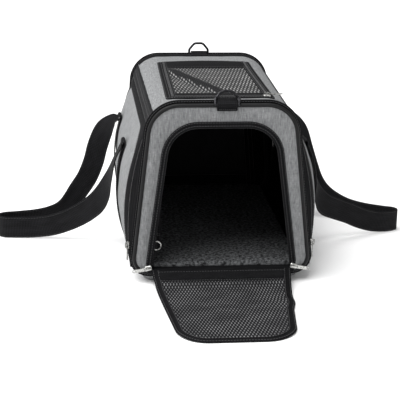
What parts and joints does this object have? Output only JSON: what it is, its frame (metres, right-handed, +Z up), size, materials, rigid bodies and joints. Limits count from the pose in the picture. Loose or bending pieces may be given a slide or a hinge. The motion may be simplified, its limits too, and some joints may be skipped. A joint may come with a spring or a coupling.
{
  "type": "pet carrier bag",
  "caption": "Soft-sided pet carrier bag: arched zip doors at both ends, mesh top hatch, fold-down expanding sides, webbing carry handles and strap D-rings.",
  "frame": {"origin": "centre of the base, on the floor the bag stands on", "axes": "+Z up, -Y out of the front door, +X to the right of someone facing the front door"},
  "size_m": [0.718, 0.7111, 0.3081],
  "materials": {
    "grey_cloth": "slub weave polyester, matt",
    "black_cloth": "black polyester binding, matt",
    "mesh_cloth": "black honeycomb air mesh",
    "webbing": "black polypropylene webbing, ribbed",
    "zip_coil": "nylon coil",
    "fleece": "dark grey nubby fleece",
    "board": "polyethylene board",
    "spring_wire": "spring steel wire",
    "silver_metal": "nickel-plated zinc",
    "dark_metal": "gunmetal-plated steel, satin"
  },
  "bodies": {
    "bag": {"base_board": "board", "base_cover": "grey_cloth", "fleece_mat": "fleece", "floor_cloth": "grey_cloth", "front_frame_wire": "spring_wire", "front_panel": "grey_cloth", "front_piping": "black_cloth", "front_ring_tab": "webbing", "front_seam_binding": "black_cloth", "front_zip_coil": "zip_coil", "front_zip_tape": "black_cloth", "hatch_zip_coil": "zip_coil", "hatch_zip_tape": "black_cloth", "rear_frame_wire": "spring_wire", "rear_panel": "grey_cloth", "rear_piping": "black_cloth", "rear_ring_tab": "webbing", "rear_seam_binding": "black_cloth", "rear_zip_coil": "zip_coil", "rear_zip_tape": "black_cloth", "side_band_left": "black_cloth", "side_band_right": "black_cloth", "side_zip_coil_left": "zip_coil", "side_zip_coil_right": "zip_coil", "tether_clip": "silver_metal", "tether_strap": "webbing", "top_panel": "grey_cloth"},
    "front_door": {"front_door_binding": "black_cloth", "front_door_mesh": "mesh_cloth"},
    "rear_door": {"rear_door_binding": "black_cloth", "rear_door_mesh": "mesh_cloth"},
    "top_hatch": {"hatch_binding": "black_cloth", "hatch_mesh": "mesh_cloth"},
    "front_ring": {"front_d_ring": "dark_metal"},
    "rear_ring": {"rear_d_ring": "dark_metal"},
    "side_left": {"side_panel_left": "grey_cloth", "side_border_left": "black_cloth", "side_tent_left": "mesh_cloth", "handle_anchor_left": "webbing"},
    "handle_left": {"handle_left": "webbing"},
    "side_right": {"side_panel_right": "grey_cloth", "side_border_right": "black_cloth", "side_tent_right": "mesh_cloth", "handle_anchor_right": "webbing"},
    "handle_right": {"handle_right": "webbing"},
    "front_slider_left": {"front_slider_left": "silver_metal"},
    "front_pull_left": {"front_pull_left": "silver_metal"},
    "rear_slider_left": {"rear_slider_left": "silver_metal"},
    "rear_pull_left": {"rear_pull_left": "silver_metal"},
    "side_slider_left": {"side_slider_left": "silver_metal"},
    "side_pull_left": {"side_pull_left": "silver_metal"},
    "front_slider_right": {"front_slider_right": "silver_metal"},
    "front_pull_right": {"front_pull_right": "silver_metal"},
    "rear_slider_right": {"rear_slider_right": "silver_metal"},
    "rear_pull_right": {"rear_pull_right": "silver_metal"},
    "side_slider_right": {"side_slider_right": "silver_metal"},
    "side_pull_right": {"side_pull_right": "silver_metal"},
    "hatch_slider": {"hatch_slider": "silver_metal"},
    "hatch_pull": {"hatch_pull": "silver_metal"}
  },
  "joints": [
    {"name": "front_door_hinge", "type": "hinge", "parent": "bag", "child": "front_door", "pos_m": [0, -0.2392, 0.019], "axis": [-1, 0, 0], "range_deg": [0, 95.07]},
    {"name": "rear_door_hinge", "type": "hinge", "parent": "bag", "child": "rear_door", "pos_m": [0, 0.2392, 0.019], "axis": [-1, 0, 0], "range_deg": [0, 95.07]},
    {"name": "top_hatch_hinge", "type": "hinge", "parent": "bag", "child": "top_hatch", "pos_m": [0, 0.1306, 0.2866], "axis": [-1, 0, 0], "range_deg": [0, 150]},
    {"name": "side_left_fold", "type": "hinge", "parent": "bag", "child": "side_left", "pos_m": [-0.14183, 0, 0.024], "axis": [0.0027, -1, 0], "range_deg": [0, 90], "deforming": ["side_tent_left"]},
    {"name": "handle_left_lift", "type": "hinge", "parent": "side_left", "child": "handle_left", "pos_m": [-0.15035, -0.1, 0.195], "axis": [-0.0209, 0.9998, 0], "range_deg": [0, 130]},
    {"name": "side_right_fold", "type": "hinge", "parent": "bag", "child": "side_right", "pos_m": [0.14183, 0, 0.024], "axis": [0.0027, 1, 0], "range_deg": [0, 90], "deforming": ["side_tent_right"]},
    {"name": "handle_right_lift", "type": "hinge", "parent": "side_right", "child": "handle_right", "pos_m": [0.15035, -0.1, 0.195], "axis": [-0.0209, -0.9998, 0], "range_deg": [0, 130]},
    {"name": "front_ring_swing", "type": "hinge", "parent": "bag", "child": "front_ring", "pos_m": [0.005, -0.2407, 0.284], "axis": [1, 0, 0], "range_deg": [0, 180]},
    {"name": "rear_ring_swing", "type": "hinge", "parent": "bag", "child": "rear_ring", "pos_m": [0, 0.2407, 0.284], "axis": [-1, 0, 0], "range_deg": [-30, 138]},
    {"name": "front_slider_left_travel", "type": "slide", "parent": "bag", "child": "front_slider_left", "axis": [0.1369, 0, 0.9906], "range_m": [0, 0.1785]},
    {"name": "front_pull_left_swing", "type": "hinge", "parent": "front_slider_left", "child": "front_pull_left", "pos_m": [-0.11455, -0.2419, 0.0253], "axis": [-0.1736, 0, 0.9848], "range_deg": [0, 160]},
    {"name": "rear_slider_left_travel", "type": "slide", "parent": "bag", "child": "rear_slider_left", "axis": [-1, 0, 0], "range_m": [0, 0.0322]},
    {"name": "rear_pull_left_swing", "type": "hinge", "parent": "rear_slider_left", "child": "rear_pull_left", "pos_m": [-0.011, 0.2419, 0.2511], "axis": [0, 0, -1], "range_deg": [0, 95]},
    {"name": "side_slider_left_travel", "type": "hinge", "parent": "bag", "child": "side_slider_left", "pos_m": [0.46731, -0.21955, 0.06215], "axis": [0, 1, 0], "range_deg": [0, 17.1]},
    {"name": "side_pull_left_swing", "type": "hinge", "parent": "side_slider_left", "child": "side_pull_left", "pos_m": [-0.14724, -0.22063, 0.05794], "axis": [-0.309, 0.9511, -0.0021], "range_deg": [0, 160]},
    {"name": "front_slider_right_travel", "type": "slide", "parent": "bag", "child": "front_slider_right", "axis": [-0.1369, 0, 0.9906], "range_m": [0, 0.1785]},
    {"name": "front_pull_right_swing", "type": "hinge", "parent": "front_slider_right", "child": "front_pull_right", "pos_m": [0.11455, -0.2419, 0.0253], "axis": [-0.1736, 0, -0.9848], "range_deg": [0, 160]},
    {"name": "rear_slider_right_travel", "type": "slide", "parent": "bag", "child": "rear_slider_right", "axis": [1, 0, 0], "range_m": [0, 0.0322]},
    {"name": "rear_pull_right_swing", "type": "hinge", "parent": "rear_slider_right", "child": "rear_pull_right", "pos_m": [0.011, 0.2419, 0.2511], "axis": [0, 0, 1], "range_deg": [0, 95]},
    {"name": "side_slider_right_travel", "type": "hinge", "parent": "bag", "child": "side_slider_right", "pos_m": [-0.46731, -0.21955, 0.06215], "axis": [0, -1, 0], "range_deg": [0, 17.1]},
    {"name": "side_pull_right_swing", "type": "hinge", "parent": "side_slider_right", "child": "side_pull_right", "pos_m": [0.14724, -0.22063, 0.05794], "axis": [-0.309, -0.9511, 0.0021], "range_deg": [0, 160]},
    {"name": "hatch_slider_travel", "type": "slide", "parent": "bag", "child": "hatch_slider", "axis": [-1, 0, 0], "range_m": [0, 0.142]},
    {"name": "hatch_pull_swing", "type": "hinge", "parent": "hatch_slider", "child": "hatch_pull", "pos_m": [0.071, -0.1906, 0.2904], "axis": [0, -1, 0], "range_deg": [0, 160]}
  ]
}
